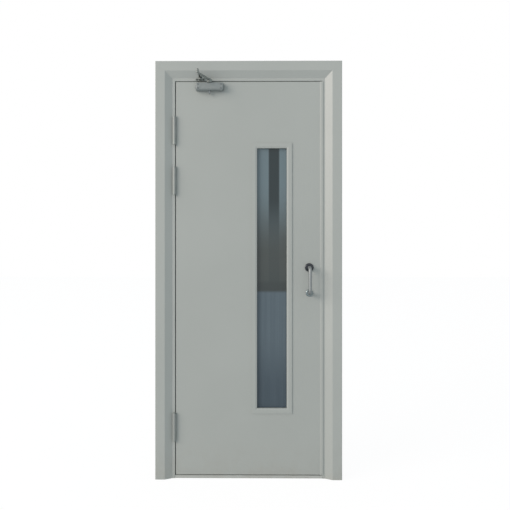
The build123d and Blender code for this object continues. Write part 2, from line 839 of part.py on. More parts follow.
# Closer arms
# Both arms stand straight out from the door while it is shut. The main arm
# is fixed on the square end of the spindle just above the top of the leaf,
# and the forearm runs back above it to the shoe on the frame.
arm_z = (leaf_top + arm_above_leaf, leaf_top + arm_above_leaf + arm_thickness)
hub_foot_z = closer_top + arm_hub_clearance
elbow_x = hinge_x + elbow_from_hinge
elbow_y = hinge_y - elbow_out
shoe_pivot_y = strip_y - shoe_out
forearm_z = arm_z[1] + forearm_lift
arm_length = hypot(elbow_x - spindle_x, elbow_y - spindle_y)
forearm_length = hypot(elbow_x - shoe_x, elbow_y - shoe_pivot_y)
arm_line = Plane(
    (spindle_x, spindle_y, arm_z[0]), x_dir=(elbow_x - spindle_x, elbow_y - spindle_y, 0), z_dir=(0, 0, 1)
)
forearm_line = Plane(
    (shoe_x, shoe_pivot_y, forearm_z), x_dir=(elbow_x - shoe_x, elbow_y - shoe_pivot_y, 0), z_dir=(0, 0, 1)
)

with BuildPart() as closer_spindle:
    with BuildSketch(Plane((spindle_x, spindle_y, closer_z[0]))):
        Circle(spindle_radius)
    extrude(amount=closer_height)
    with BuildSketch(Plane((spindle_x, spindle_y, closer_z[0] - spindle_stub))):
        Rectangle(spindle_square, spindle_square)
    extrude(amount=spindle_stub)
    with BuildSketch(arm_line.offset(closer_top - arm_z[0])):
        Rectangle(spindle_square, spindle_square)
    extrude(amount=arm_z[1] - closer_top - arm_screw_head)
    stub_rim = closer_spindle.edges().group_by(Axis.Z)[0]
    chamfer(stub_rim, length=stub_chamfer)

with BuildPart() as main_arm:
    with BuildSketch(arm_line):
        Circle(arm_hub_radius)
        with Locations((arm_length, 0)):
            Circle(arm_elbow_radius)
        make_hull()
    extrude(amount=arm_thickness)
    fillet(main_arm.edges().group_by(Axis.Z)[0], radius=arm_edge)
    with BuildSketch(arm_line.offset(hub_foot_z - arm_z[0])):
        Circle(arm_hub_radius)
    extrude(amount=arm_z[1] - hub_foot_z)
    with BuildSketch(arm_line.offset(arm_thickness)):
        with Locations((arm_length, 0)):
            Circle(arm_elbow_radius)
    extrude(amount=forearm_lift - forearm_eye / 2 - arm_gap)
    with BuildSketch(arm_line.offset(hub_foot_z - arm_z[0])):
        Rectangle(spindle_square + thread_clearance, spindle_square + thread_clearance)
    extrude(amount=arm_z[1] - hub_foot_z, mode=Mode.SUBTRACT)
    with BuildSketch(arm_line.offset(arm_thickness)):
        Circle(arm_screw_radius + thread_clearance)
    extrude(amount=-arm_screw_head, mode=Mode.SUBTRACT)
    fillet(main_arm.edges().group_by(Axis.Z)[0].filter_by(GeomType.CIRCLE), radius=arm_edge)

with BuildPart() as arm_screw:
    with BuildSketch(arm_line.offset(arm_thickness - arm_screw_head)):
        Circle(arm_screw_radius)
    extrude(amount=arm_screw_head)
    with BuildSketch(arm_line.offset(arm_thickness)):
        RegularPolygon(arm_screw_socket, 6)
    extrude(amount=-arm_screw_head / 2, mode=Mode.SUBTRACT)

# The forearm is a rod with the shoe eye that screws into a tube with the
# elbow eye, locked by a nut, so that its length can be set.
eye_foot = forearm_line.offset(-forearm_eye / 2)
tube_end = forearm_length - forearm_neck
tube_start = tube_end - forearm_tube_length


def across_forearm(distance):
    """A plane square to the forearm at a distance from the shoe pivot."""
    return Plane(forearm_line.from_local_coords(Vector(distance, 0, 0)), x_dir=(0, 0, 1), z_dir=forearm_line.x_dir)


with BuildPart() as forearm_tube:
    with BuildSketch(across_forearm(tube_start)):
        Circle(forearm_tube_radius)
    extrude(amount=forearm_tube_length)
    with BuildSketch(eye_foot):
        with Locations((forearm_length, 0)):
            Circle(forearm_eye_radius)
        with Locations((forearm_length - forearm_neck / 2 - arm_gap, 0)):
            Rectangle(forearm_neck + 2 * arm_gap, forearm_neck_width)
    extrude(amount=forearm_eye)
    with BuildSketch(eye_foot):
        with Locations((forearm_length, 0)):
            Circle(elbow_screw_radius + thread_clearance)
    extrude(amount=forearm_eye, mode=Mode.SUBTRACT)
    with BuildSketch(across_forearm(tube_start)):
        Circle(forearm_rod_radius + thread_clearance)
    extrude(amount=forearm_rod_bite, mode=Mode.SUBTRACT)

with BuildPart() as forearm_rod:
    with BuildSketch(across_forearm(0)):
        Circle(forearm_rod_radius)
    extrude(amount=tube_start + forearm_rod_bite)
    with BuildSketch(eye_foot):
        Circle(forearm_eye_radius)
    extrude(amount=forearm_eye)
    with BuildSketch(eye_foot):
        Circle(shoe_pin_radius + running_clearance)
    extrude(amount=forearm_eye, mode=Mode.SUBTRACT)

with BuildPart() as forearm_nut:
    with BuildSketch(across_forearm(tube_start - forearm_nut_length)):
        RegularPolygon(forearm_nut_across / 2, 6, major_radius=False)
        Circle(forearm_rod_radius + thread_clearance, mode=Mode.SUBTRACT)
    extrude(amount=forearm_nut_length)

with BuildPart() as elbow_screw:
    with BuildSketch(eye_foot):
        with Locations((forearm_length, 0)):
            Circle(elbow_screw_radius)
    extrude(amount=forearm_eye)
    with BuildSketch(forearm_line.offset(forearm_eye / 2)):
        with Locations((forearm_length, 0)):
            Circle(elbow_screw_head_radius)
    extrude(amount=elbow_screw_head)
    chamfer(elbow_screw.edges().group_by(Axis.Z)[-1], length=elbow_screw_head * head_bevel)

# Shoe
# A small plate on the strip of the head carries a fork, and a pin through
# the fork holds the eye of the forearm.
shoe_plate_z = widened((shoe_z, shoe_z), shoe_plate_height / 2)
shoe_plate_y = (strip_y - shoe_plate_thickness, strip_y)
fork_z = widened((forearm_z, forearm_z), forearm_eye / 2 + arm_gap + shoe_cheek)
slot_z = widened((forearm_z, forearm_z), forearm_eye / 2 + arm_gap)
slot_back_y = shoe_pivot_y + forearm_eye_radius + shoe_slot_clearance
fork_back_y = slot_back_y + shoe_web

with BuildPart() as closer_shoe:
    span(widened((shoe_x, shoe_x), shoe_plate_width / 2), shoe_plate_y, shoe_plate_z)
    fillet(closer_shoe.edges().filter_by(Axis.Y), radius=shoe_plate_corner)
    for x in shoe_screw_x:
        drill(x, shoe_plate_y, shoe_z, shoe_screw_radius + thread_clearance)
    fork_x = widened((shoe_x, shoe_x), shoe_fork_width / 2)
    span(fork_x, (fork_back_y - shoe_web, shoe_plate_y[0]), (fork_z[0], shoe_plate_z[1]))
    with BuildSketch(Plane((shoe_x, shoe_pivot_y, fork_z[0]))):
        Circle(shoe_fork_width / 2)
        with Locations((0, (fork_back_y - shoe_pivot_y) / 2)):
            Rectangle(shoe_fork_width, fork_back_y - shoe_pivot_y)
    extrude(amount=fork_z[1] - fork_z[0])
    span(fork_x, (shoe_pivot_y - shoe_fork_width / 2, slot_back_y), slot_z, mode=Mode.SUBTRACT)
    with Locations((shoe_x, shoe_pivot_y, forearm_z)):
        Cylinder(shoe_pin_radius + thread_clearance, fork_z[1] - fork_z[0], mode=Mode.SUBTRACT)

with BuildPart() as shoe_pin:
    with BuildSketch(Plane((shoe_x, shoe_pivot_y, fork_z[0]))):
        Circle(shoe_pin_radius)
    extrude(amount=fork_z[1] - fork_z[0])
    with BuildSketch(Plane((shoe_x, shoe_pivot_y, fork_z[1]))):
        Circle(shoe_pin_head_radius)
    extrude(amount=shoe_pin_head)

shoe_screw = round_screw(shoe_screw_radius, shoe_screw_head_radius, shoe_screw_head, shoe_screw_length)
shoe_screw_spots = [Location((x, shoe_plate_y[0], shoe_z), front_facing) for x in shoe_screw_x]

# Finished pieces, by the name of each
pieces = {
    "jamb_hinge_side": jamb_hinge_side.part,
    "jamb_lock_side": jamb_lock_side.part,
    "frame_head": frame_head.part,
    "threshold": threshold.part,
    "fixing_sleeves": fixing_sleeves.part,
    "wall_anchors": wall_anchors.part,
    "stop_seal_hinge_side": stop_seal(widened((-stop_seal_x,) * 2, seal_half), jamb_seal_z, Axis.Z),
    "stop_seal_lock_side": stop_seal(widened((stop_seal_x,) * 2, seal_half), jamb_seal_z, Axis.Z),
    "stop_seal_head": stop_seal(
        widened((-stop_seal_x, stop_seal_x), seal_half), widened((head_seal_z,) * 2, seal_half), Axis.X
    ),
    "fire_strips": fire_strips.part,
    "hinge_backing_frame": backing_plates((-rebate_x - frame_sheet - backing_plate, -rebate_x - frame_sheet)),
    "hinge_backing_leaf": backing_plates(leaf_backing_x),
    "hinge_screws_frame": hinge_screws(frame_plate_face, 90),
    "hinge_screws_leaf": hinge_screws(leaf_plate_face, -90),
    "leaf_front_skin": leaf_tray(leaf_front_y, leaf_middle_y),
    "leaf_back_skin": leaf_tray(leaf_back_y, leaf_middle_y),
    "leaf_core": leaf_core.part,
    "stile_hinge_side": stile_hinge_side,
    "stile_lock_side": stile_lock_side,
    "rail_top": rail_top,
    "rail_bottom": rail_bottom,
    "closer_support": closer_support.part,
    "lock_edge_strip": lock_edge_strip.part,
    "vision_lining": vision_lining.part,
    "glazing_bead_front": glazing_bead_front.part,
    "glazing_bead_back": glazing_bead_back.part,
    "glazing_gasket_front": glazing_gasket_front.part,
    "glazing_gasket_back": glazing_gasket_front.part.mirror(mid_leaf),
    "fire_glass": fire_glass.part,
    "glass_setting_blocks": glass_setting_blocks.part,
    "bead_screws": screw_group(bead_screw, bead_screw_spots),
    "pull_handle": pull_handle.part,
    "handle_rose_upper": handle_rose(handle_heights[1], upper_rose_radius),
    "handle_rose_lower": handle_rose(handle_heights[0], lower_rose_radius),
    "handle_bolts": handle_bolts.part,
    "handle_back_caps": handle_back_caps.part,
    "closer_body": closer_body.part,
    "closer_plugs": closer_plugs.part,
    "closer_mounting_plate": closer_mounting_plate.part,
    "closer_screws": screw_group(closer_screw, closer_screw_spots),
    "closer_spindle": closer_spindle.part,
    "main_arm": main_arm.part,
    "arm_screw": arm_screw.part,
    "forearm_tube": forearm_tube.part,
    "forearm_rod": forearm_rod.part,
    "forearm_nut": forearm_nut.part,
    "elbow_screw": elbow_screw.part,
    "closer_shoe": closer_shoe.part,
    "shoe_pin": shoe_pin.part,
    "shoe_screws": screw_group(shoe_screw, shoe_screw_spots),
}
frame_plate_x = (frame_plate_face - hinge_plate, frame_plate_face)
leaf_plate_x = (leaf_plate_face, leaf_plate_inner)
for name, height in zip(hinge_names, hinge_heights):
    pieces[f"hinge_frame_half_{name}"] = hinge_half(height, frame_plate_x, frame_plate_face, 90, 0)
    pieces[f"hinge_leaf_half_{name}"] = hinge_half(height, leaf_plate_x, leaf_plate_face, -90, 1)
    pieces[f"hinge_pin_{name}"] = hinge_pin(height)

for name, piece in pieces.items():
    piece.label = name
    export_step(piece, f"parts/{name}.step")
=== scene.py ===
import json
from math import cos, pi, radians, sin, tan

import bmesh
import bpy
import numpy as np
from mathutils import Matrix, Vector


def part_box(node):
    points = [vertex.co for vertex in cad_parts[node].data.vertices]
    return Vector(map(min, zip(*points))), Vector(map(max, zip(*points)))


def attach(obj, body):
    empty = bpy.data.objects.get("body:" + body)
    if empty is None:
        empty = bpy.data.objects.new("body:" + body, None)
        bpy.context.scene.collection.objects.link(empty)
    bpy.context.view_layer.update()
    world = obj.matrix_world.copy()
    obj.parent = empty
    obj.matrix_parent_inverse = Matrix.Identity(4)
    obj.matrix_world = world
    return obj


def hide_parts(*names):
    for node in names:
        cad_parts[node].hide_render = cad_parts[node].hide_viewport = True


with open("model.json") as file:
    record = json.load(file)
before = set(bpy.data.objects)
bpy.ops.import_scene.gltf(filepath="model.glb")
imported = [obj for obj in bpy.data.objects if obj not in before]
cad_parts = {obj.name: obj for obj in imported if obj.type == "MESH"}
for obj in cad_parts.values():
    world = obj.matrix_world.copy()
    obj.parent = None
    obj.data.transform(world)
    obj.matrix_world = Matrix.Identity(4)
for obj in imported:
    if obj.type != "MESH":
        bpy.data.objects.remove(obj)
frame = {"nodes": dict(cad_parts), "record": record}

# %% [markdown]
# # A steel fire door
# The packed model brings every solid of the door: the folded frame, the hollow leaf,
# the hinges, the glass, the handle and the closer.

MM = 0.001
X_AXIS, Y_AXIS, Z_AXIS = np.eye(3)


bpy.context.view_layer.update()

# %% [markdown]
# ## Where the eye stands
# The door fills the height of the picture and its upright edges stay parallel, so
# the camera is level and the picture is shifted a little instead of tilted. A
# distance of 2.9 m from the face of the frame gives the small amount of the slopes
# that shows on each side, and a turn of half a degree makes the right edge a little
# taller than the left one.

# %% Camera
picture_size = 510
focal_pixels = 579.0
sensor_width = 36.0
face_y = -0.055
eye_x = 0.055
eye_height = 1.2267
eye_distance = 2.9
turn = radians(0.45)
horizon_drop = -20.0
nearest_seen = 0.05

camera_data = bpy.data.cameras.new("eye")
camera_data.sensor_width = sensor_width
camera_data.lens = focal_pixels * sensor_width / picture_size
camera_data.shift_y = horizon_drop / picture_size
camera_data.clip_start = nearest_seen
camera = bpy.data.objects.new("eye", camera_data)
camera.location = (eye_x, face_y - eye_distance, eye_height)
camera.rotation_euler = (pi / 2, 0, turn)
bpy.context.scene.collection.objects.link(camera)
bpy.context.scene.camera = camera
print("lens", round(camera_data.lens, 2), "mm at", tuple(round(v, 3) for v in camera.location))

# %% [markdown]
# ## Wiring shader maths as plain arithmetic
# A finish is a small calculation done at every point of a surface. Blender draws it
# as a web of nodes, which is hard to read as code. A thin wrapper round one output
# lets Python's own signs stand for Math nodes, and one method makes all the rest.


# %% A wrapper for one output of a node
class Wire:
    """One output of a node in a material. Arithmetic on it adds Math nodes."""

    def __init__(self, tree, socket=None):
        self.tree = tree
        self.socket = socket

    def node(self, kind, settings=None, inputs=None, out=0):
        """Adds a node: its settings first, then values or links for its inputs."""
        made = self.tree.nodes.new(kind)
        for name, value in (settings or {}).items():
            setattr(made, name, value)
        for name, value in (inputs or {}).items():
            if isinstance(value, Wire):
                self.tree.links.new(value.socket, made.inputs[name])
            else:
                made.inputs[name].default_value = value
        return Wire(self.tree, made.outputs[out] if made.outputs else None)

    def math(self, operation, first, second):
        return self.node("ShaderNodeMath", {"operation": operation}, {0: first, 1: second})

    def __add__(self, other):
        return self.math("ADD", self, other)

    def __sub__(self, other):
        return self.math("SUBTRACT", self, other)

    def __rsub__(self, other):
        return self.math("SUBTRACT", other, self)

    def __mul__(self, other):
        return self.math("MULTIPLY", self, other)

    __radd__ = __add__
    __rmul__ = __mul__


print("a Wire knows", [name for name in vars(Wire) if name.startswith("__r")])

# %% [markdown]
# ## Small helpers for finishes
# Most finishes here need the same few things: a place on the object, a cloudy or a
# cell pattern, a soft step between two values and a blend of two colours. Places are
# read from Object coordinates, which are metres in the model's own frame, so a pattern
# stays put when the door opens.


# %% Helpers for patterns
def linear(red, green, blue):
    """A colour as a paint chart gives it, 0 to 255, turned to linear light."""
    parts = np.array((red, green, blue)) / 255
    low = parts / 12.92
    high = ((parts + 0.055) / 1.055) ** 2.4
    return (*np.where(parts <= 0.04045, low, high).tolist(), 1.0)


def toned(colour, change):
    """A paint chart's colour made lighter or darker by a number of its 255 steps."""
    return linear(*(part + change for part in colour))


def new_finish(name):
    """An empty material with its output, and a Wire to start from."""
    material = bpy.data.materials.new(name)
    material.use_nodes = True
    material.node_tree.nodes.clear()
    return material, Wire(material.node_tree)


def place_on(start):
    """The point of the surface in metres, with its three parts."""
    place = start.node("ShaderNodeTexCoord", out="Object")
    parts = [start.node("ShaderNodeSeparateXYZ", None, {0: place}, out=axis) for axis in "XYZ"]
    return place, parts


def cloud(place, scale, detail=3.0, stretch=(1, 1, 1)):
    """Soft noise from 0 to 1 with the given number of cells in a metre."""
    stretched = place.node("ShaderNodeMapping", None, {"Vector": place, "Scale": stretch})
    inputs = {"Vector": stretched, "Scale": scale, "Detail": detail}
    return place.node("ShaderNodeTexNoise", None, inputs)


def cells(place, scale):
    """Cells with one random grey each, the given number of them in a metre."""
    inputs = {"Vector": place, "Scale": scale}
    colours = place.node("ShaderNodeTexVoronoi", None, inputs, out="Color")
    return place.node("ShaderNodeSeparateColor", None, {0: colours}, out=0)


def step(value, low, high):
    """0 below one value and 1 above another, with a smooth ramp between them."""
    inputs = {"Value": value, "From Min": low, "From Max": high}
    return value.node("ShaderNodeMapRange", {"interpolation_type": "SMOOTHSTEP"}, inputs)


def band(value, middle, half_width, softness):
    """1 inside a stripe round a middle value and 0 away from it."""
    rise = step(value, middle - half_width - softness, middle - half_width + softness)
    fall = step(value, middle + half_width - softness, middle + half_width + softness)
    return rise - fall


def mixed(mask, first, second):
    """The first colour where the mask is 0 and the second where it is 1."""
    inputs = {0: mask, 6: first, 7: second}
    return mask.node("ShaderNodeMix", {"data_type": "RGBA"}, inputs, out=2)


def bumps(height, distance):
    """Tilts the surface as a height map would, without moving it."""
    inputs = {"Height": height, "Distance": distance, "Strength": 1.0}
    return height.node("ShaderNodeBump", None, inputs)


def close_finish(start, **inputs):
    """Ends a material with one principled shader. Each value is named as its socket
    is, in small letters and with a low line for the space."""
    sockets = {}
    for name, value in inputs.items():
        sockets["IOR" if name == "ior" else name.replace("_", " ").title()] = value
    shader = start.node("ShaderNodeBsdfPrincipled", None, sockets)
    start.node("ShaderNodeOutputMaterial", None, {"Surface": shader})


print("middle grey is", [round(v, 3) for v in linear(128, 128, 128)[:3]], "in linear light")

# %% [markdown]
# ## Sprayed paint
# Frame and leaf are sprayed with the same grey-green enamel. A flat colour would look
# like plastic film: real enamel has a fine orange peel, clouds a little in tone over a
# metre, and collects dust low down. The leaf is rubbed where hands push it, round the
# handle, so it is a touch glossier there. The threshold is trodden on: its paint is
# paler and scratched across, down to the bright sheet on the raised stop. All of that
# is worked out from the place on the door.


# %% Enamel for the frame, the leaf and the threshold
dust_colour = linear(150, 146, 136)
bare_sheet = linear(186, 190, 192)
dust_top = 0.22
hand_height, hand_reach, hand_fade = 1.0, 0.14, 0.08
hand_from, hand_full = 0.18, 0.3
tread_from, tread_full = 4 * MM, 18 * MM
peel_depth = 0.03 * MM


def enamel(name, colour, dusty, roughness, rubbed=0.0, trodden=0.0):
    """Sprayed paint: tone clouds, orange peel, dust near the floor.
    Rubbed lowers the roughness round the handle; trodden bares metal in scratches."""
    material, start = new_finish(name)
    place, (across, _, height) = place_on(start)
    tone = cloud(place, 2.2, 2.0)
    speck = cloud(place, 260.0, 2.0)
    dust = (1 - step(height, 0.0, dust_top)) * step(cloud(place, 14.0, 5.0), 0.35, 0.7)
    shade = mixed(step(tone, 0.3, 0.7) * 0.55, linear(*colour), toned(colour, -5))
    shade = mixed(step(speck, 0.62, 0.8) * 0.1, shade, toned(colour, 14))
    shade = mixed(dust * dusty, shade, dust_colour)
    rough = roughness + (tone - 0.5) * 0.12 + dust * 0.2
    if rubbed:
        hands = band(height, hand_height, hand_reach, hand_fade)
        rough = rough - hands * step(across, hand_from, hand_full) * rubbed
    skin = bumps(cloud(place, 620.0, 1.0), peel_depth)
    if not trodden:
        close_finish(start, base_color=shade, roughness=rough, normal=skin)
        return material
    scratch = step(cloud(place, 90.0, 4.0, (0.25, 3.0, 3.0)), 0.56, 0.66)
    scratch = scratch * step(height, tread_from, tread_full) * trodden
    shade = mixed(scratch, shade, bare_sheet)
    rough = rough - scratch * 0.1
    close_finish(start, base_color=shade, metallic=scratch * 0.8, roughness=rough, normal=skin)
    return material


frame_paint = enamel("frame_paint", (167, 172, 168), dusty=0.25, roughness=0.42)
leaf_paint = enamel("leaf_paint", (165, 170, 166), dusty=0.2, roughness=0.46, rubbed=0.14)
sill_paint = enamel("sill_paint", (176, 180, 176), dusty=0.2, roughness=0.44, trodden=0.6)
print("enamel:", frame_paint.name, leaf_paint.name, sill_paint.name)

# %% [markdown]
# ## Bare and plated steel
# The hinges are satin steel under a clear dulling coat, close to the paint in tone,
# with a faint grain along the knuckles, so they are only part metallic. Screws and
# pins are zinc plated, and the closer's threaded rod and its bolts are blackened.
# Sheet that nobody sees once the wall is built is galvanised, with the patchy crystals
# called spangle. Stretching fine noise along one axis makes grain, and a cell pattern
# makes spangle, because every crystal froze with a tone of its own.


# %% Steel finishes
grain_depth = 0.01 * MM
spangle_depth = 0.02 * MM
spangle_cells = 110.0


def grained_steel(name, colour, roughness, stretch, metallic=1.0):
    """Metal with a grain: fine noise that a stretch can draw out along one axis."""
    material, start = new_finish(name)
    place, _ = place_on(start)
    grain = cloud(place, 900.0, 4.0, stretch)
    smear = cloud(place, 35.0, 3.0)
    shade = mixed(grain * 0.5, linear(*colour), toned(colour, -22))
    rough = roughness + (grain - 0.5) * 0.16 + (smear - 0.5) * 0.12
    skin = bumps(grain, grain_depth)
    close_finish(start, base_color=shade, metallic=metallic, roughness=rough, normal=skin)
    return material


def galvanised(name):
    """Zinc spangle: each crystal has its own grey and its own gloss."""
    material, start = new_finish(name)
    place, _ = place_on(start)
    wobble = cloud(place, 60.0, 2.0)
    grey = cells(place, spangle_cells)
    shade = mixed(grey * 0.8 + wobble * 0.2, linear(132, 138, 141), linear(164, 169, 172))
    rough = 0.34 + grey * 0.22
    skin = bumps(grey, spangle_depth)
    close_finish(start, base_color=shade, metallic=0.9, roughness=rough, normal=skin)
    return material


hinge_steel = grained_steel("hinge_steel", (150, 156, 153), 0.55, (1, 1, 0.2), metallic=0.3)
screw_steel = grained_steel("screw_steel", (130, 136, 138), 0.4, (0.3, 0.3, 0.3))
dark_steel = grained_steel("dark_steel", (78, 82, 80), 0.4, (1, 1, 0.3))
zinc_sheet = galvanised("zinc_sheet")
print("steel:", [m.name for m in (hinge_steel, screw_steel, dark_steel, zinc_sheet)])

# %% [markdown]
# ## Chrome on the pull handle
# Chrome has almost no colour of its own and takes that of the room. Polished, it has a
# very low roughness, broken by faint wiping marks. The bar of this handle is worn to a
# satin by hands. The two roses are the same chrome: the near black tone of the upper one
# and the blue-grey tone of the lower one are painted reflections of a dark room. So one
# recipe with a tone and a roughness serves all three.


# %% Chrome
def polished(name, colour, roughness):
    """Mirror-like plating with faint wiping marks."""
    material, start = new_finish(name)
    place, _ = place_on(start)
    wipe = cloud(place, 75.0, 3.0, (1, 1, 0.3))
    spots = step(cloud(place, 340.0, 1.0), 0.66, 0.74)
    shade = mixed(wipe * 0.35, linear(*colour), toned(colour, -16))
    rough = roughness + wipe * 0.06 + spots * 0.1
    close_finish(start, base_color=shade, metallic=1.0, roughness=rough)
    return material


bright_chrome = polished("bright_chrome", (146, 152, 153), 0.55)
# Painted reflections: both roses are the same chrome, given a blue-grey and a near black tone
# for the dark room they take in.
painted_blue_reflection_chrome = polished("painted_blue_reflection_chrome", (136, 148, 151), 0.2)
painted_dark_reflection_chrome = polished("painted_dark_reflection_chrome", (68, 71, 75), 0.16)
print("plating:", bright_chrome.name, painted_blue_reflection_chrome.name, painted_dark_reflection_chrome.name)

# %% [markdown]
# ## The closer's lacquer
# The closer is an aluminium casting sprayed with silver lacquer, a little bluer and
# darker than the door. Metal flakes in the lacquer are finer than a tenth of a
# millimetre, so their glint is painted into the tone as lighter flecks, a painted
# highlight, and not made as bumps. The casting skin under it gives the low, soft waviness.


# %% Silver lacquer
flakes_per_metre = 2600.0


def silver_lacquer(name, colour, waviness):
    """Flake paint on a casting: a painted glint of the flakes in the tone, slow waves in the
    skin.
    """
    material, start = new_finish(name)
    place, _ = place_on(start)
    flakes_and_painted_glint = cells(place, flakes_per_metre)
    patches = step(cloud(place, 20.0, 3.0), 0.35, 0.75)
    # Lighter flecks on the brightest flake cells are a painted glint; the same cells also vary
    # the roughness.
    shade = mixed(step(flakes_and_painted_glint, 0.75, 1.0) * 0.4, linear(*colour), toned(colour, 40))
    shade = mixed(patches * 0.3, shade, toned(colour, -14))
    rough = 0.45 + flakes_and_painted_glint * 0.1
    skin = bumps(cloud(place, 180.0, 3.0), waviness)
    close_finish(start, base_color=shade, metallic=0.1, roughness=rough, normal=skin)
    return material


closer_casting = silver_lacquer("closer_casting", (131, 138, 137), waviness=0.04 * MM)
arm_paint = silver_lacquer("arm_paint", (130, 136, 132), waviness=0.03 * MM)
print("lacquer:", closer_casting.name, arm_paint.name)

# %% [markdown]
# ## Rubber, fire strip, board and blocks
# These fill the gaps of the door and show only as thin dark lines, or when it stands
# open. Each still gets its own grain: a matt skin on the rubber, grit in the strip
# that swells in a fire, fibres in the mineral board.


# %% Soft and mineral finishes
def matt(name, dark, light, scale, depth, roughness, stretch=(1, 1, 1)):
    """Two tones of one colour spread by noise, with the same noise as relief."""
    material, start = new_finish(name)
    place, _ = place_on(start)
    grain = cloud(place, scale, 5.0, stretch)
    shade = mixed(step(grain, 0.3, 0.7), linear(*dark), linear(*light))
    rough = roughness + grain * 0.12
    close_finish(start, base_color=shade, roughness=rough, normal=bumps(grain, depth))
    return material


fibres_along = (1, 1, 0.2)
seal_rubber = matt("seal_rubber", (30, 31, 33), (46, 47, 49), 420.0, 0.05 * MM, 0.66)
fire_strip = matt("fire_strip", (58, 56, 55), (82, 80, 78), 700.0, 0.08 * MM, 0.78)
board_tones = (176, 170, 150), (206, 200, 182)
mineral_board = matt("mineral_board", *board_tones, 160.0, 0.3 * MM, 0.85, fibres_along)
setting_block = matt("setting_block", (70, 76, 74), (96, 102, 100), 240.0, 0.05 * MM, 0.6)
print("matt:", [m.name for m in (seal_rubber, fire_strip, mineral_board, setting_block)])

# %% [markdown]
# ## Fire glass
# The pane is thick laminated glass with a hard glossy face. Clear glass on a white
# studio would look white, so a dim room with a post behind the pane is painted into its
# colour as a painted reflection: painted light above, a painted dark post and rail, and
# painted shade below with a blue cast. The painted shapes are soft steps in height and across.


# %% Glass
# Where the painted view of the room in the glass changes, in metres.
dusk_height, sky_height = 1.12, 1.5
shade_height, daylight_height = 0.42, 0.75
post_offset, post_half, post_fade = 11 * MM, 26.5 * MM, 4 * MM
post_foot, post_head = 1.15, 1.42
rail_height, rail_half, rail_fade = 0.965, 24 * MM, 12 * MM
join_low, join_high = 0.935, 0.95


def glass_with_painted_view(name, pane_low, pane_high):
    """A pane with a painted view of a dim room: a lighter sky above, a post, a dark rail and a
    blue lower half.
    """
    material, start = new_finish(name)
    place, (across, _, up) = place_on(start)
    post_middle = (pane_low.x + pane_high.x) / 2 + post_offset
    haze = cloud(place, 9.0, 3.0)
    streaks = cloud(place, 130.0, 2.0, (1, 1, 0.01))
    swayed = up + (haze - 0.5) * 0.05
    sky = step(swayed, dusk_height, sky_height)
    upper = mixed(sky, linear(68, 75, 74), linear(101, 118, 124))
    post = band(across, post_middle, post_half, post_fade)
    post = post * (0.2 + step(up, post_foot, post_head) * 0.8)
    upper = mixed(post, upper, linear(41, 53, 56))
    daylight = step(swayed, shade_height, daylight_height)
    lower = mixed(daylight, linear(66, 79, 88), linear(87, 101, 109))
    lower = mixed(step(streaks, 0.35, 0.75) * 0.5, lower, linear(75, 88, 97))
    shade = mixed(step(up, join_low, join_high), lower, upper)
    rail = band(up, rail_height, rail_half, rail_fade)
    shade = mixed(rail * 0.85, shade, linear(60, 67, 67))
    close_finish(start, base_color=shade, roughness=0.08 + haze * 0.05, ior=1.45)
    return material


fire_glass = glass_with_painted_view("fire_glass", *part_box("fire_glass"))
print("glass:", fire_glass.name)

# %% [markdown]
# ## Dressing the model's own solids
# The solids already have the right shapes, so most of them stay and only change their
# finish. The record says which slot each node belongs to; the finishes carry the same
# names, so one loop dresses everything. Two things differ from their slot: the small
# blackened parts of the closer's second arm, and the paint of the trodden threshold.

# %% Finishes by slot
finishes = {
    "frame_paint": frame_paint,
    "leaf_paint": leaf_paint,
    "zinc_sheet": zinc_sheet,
    "hinge_steel": hinge_steel,
    "screw_steel": screw_steel,
    "seal_rubber": seal_rubber,
    "fire_strip": fire_strip,
    "mineral_board": mineral_board,
    "setting_block": setting_block,
    "fire_glass": fire_glass,
    "handle_chrome": bright_chrome,
    "closer_casting": closer_casting,
    "arm_paint": arm_paint,
}


def dress(thing, finish):
    """Gives a mesh object one finish in place of what it came with."""
    thing.data.materials.clear()
    thing.data.materials.append(finish)


nodes = frame["nodes"]
for part in frame["record"]["subparts"]:
    dress(nodes[part["node"]], finishes[part["material_slot"]])
for blackened in ("forearm_rod", "forearm_nut", "elbow_screw", "shoe_screws", "shoe_pin"):
    dress(nodes[blackened], dark_steel)
dress(nodes["threshold"], sill_paint)

# %% [markdown]
# ## Surfaces from arrays
# Chrome shows every flat facet, so the handle is made again as a fine surface. Any
# such surface is a grid of points: one direction runs along a path, the other round a
# profile. Numpy works out the whole grid at once, and the faces join each point to
# its neighbours.


# %% From a grid of points to a closed mesh
merge_distance = 0.001 * MM
crease_angle = radians(35)


def grid_faces(rows, columns):
    """Four-cornered faces joining each point of a grid to its neighbours.
    Columns close into a ring; rows stay open. Face (i, j) has the corners
    (i, j), (i, j+1), (i+1, j+1) and (i+1, j)."""
    i, j = np.meshgrid(np.arange(rows - 1), np.arange(columns), indexing="ij")
    right = (j + 1) % columns
    near, far = i * columns, (i + 1) * columns
    corners = np.stack((near + j, near + right, far + right, far + j), -1)
    return corners.reshape(-1, 4)


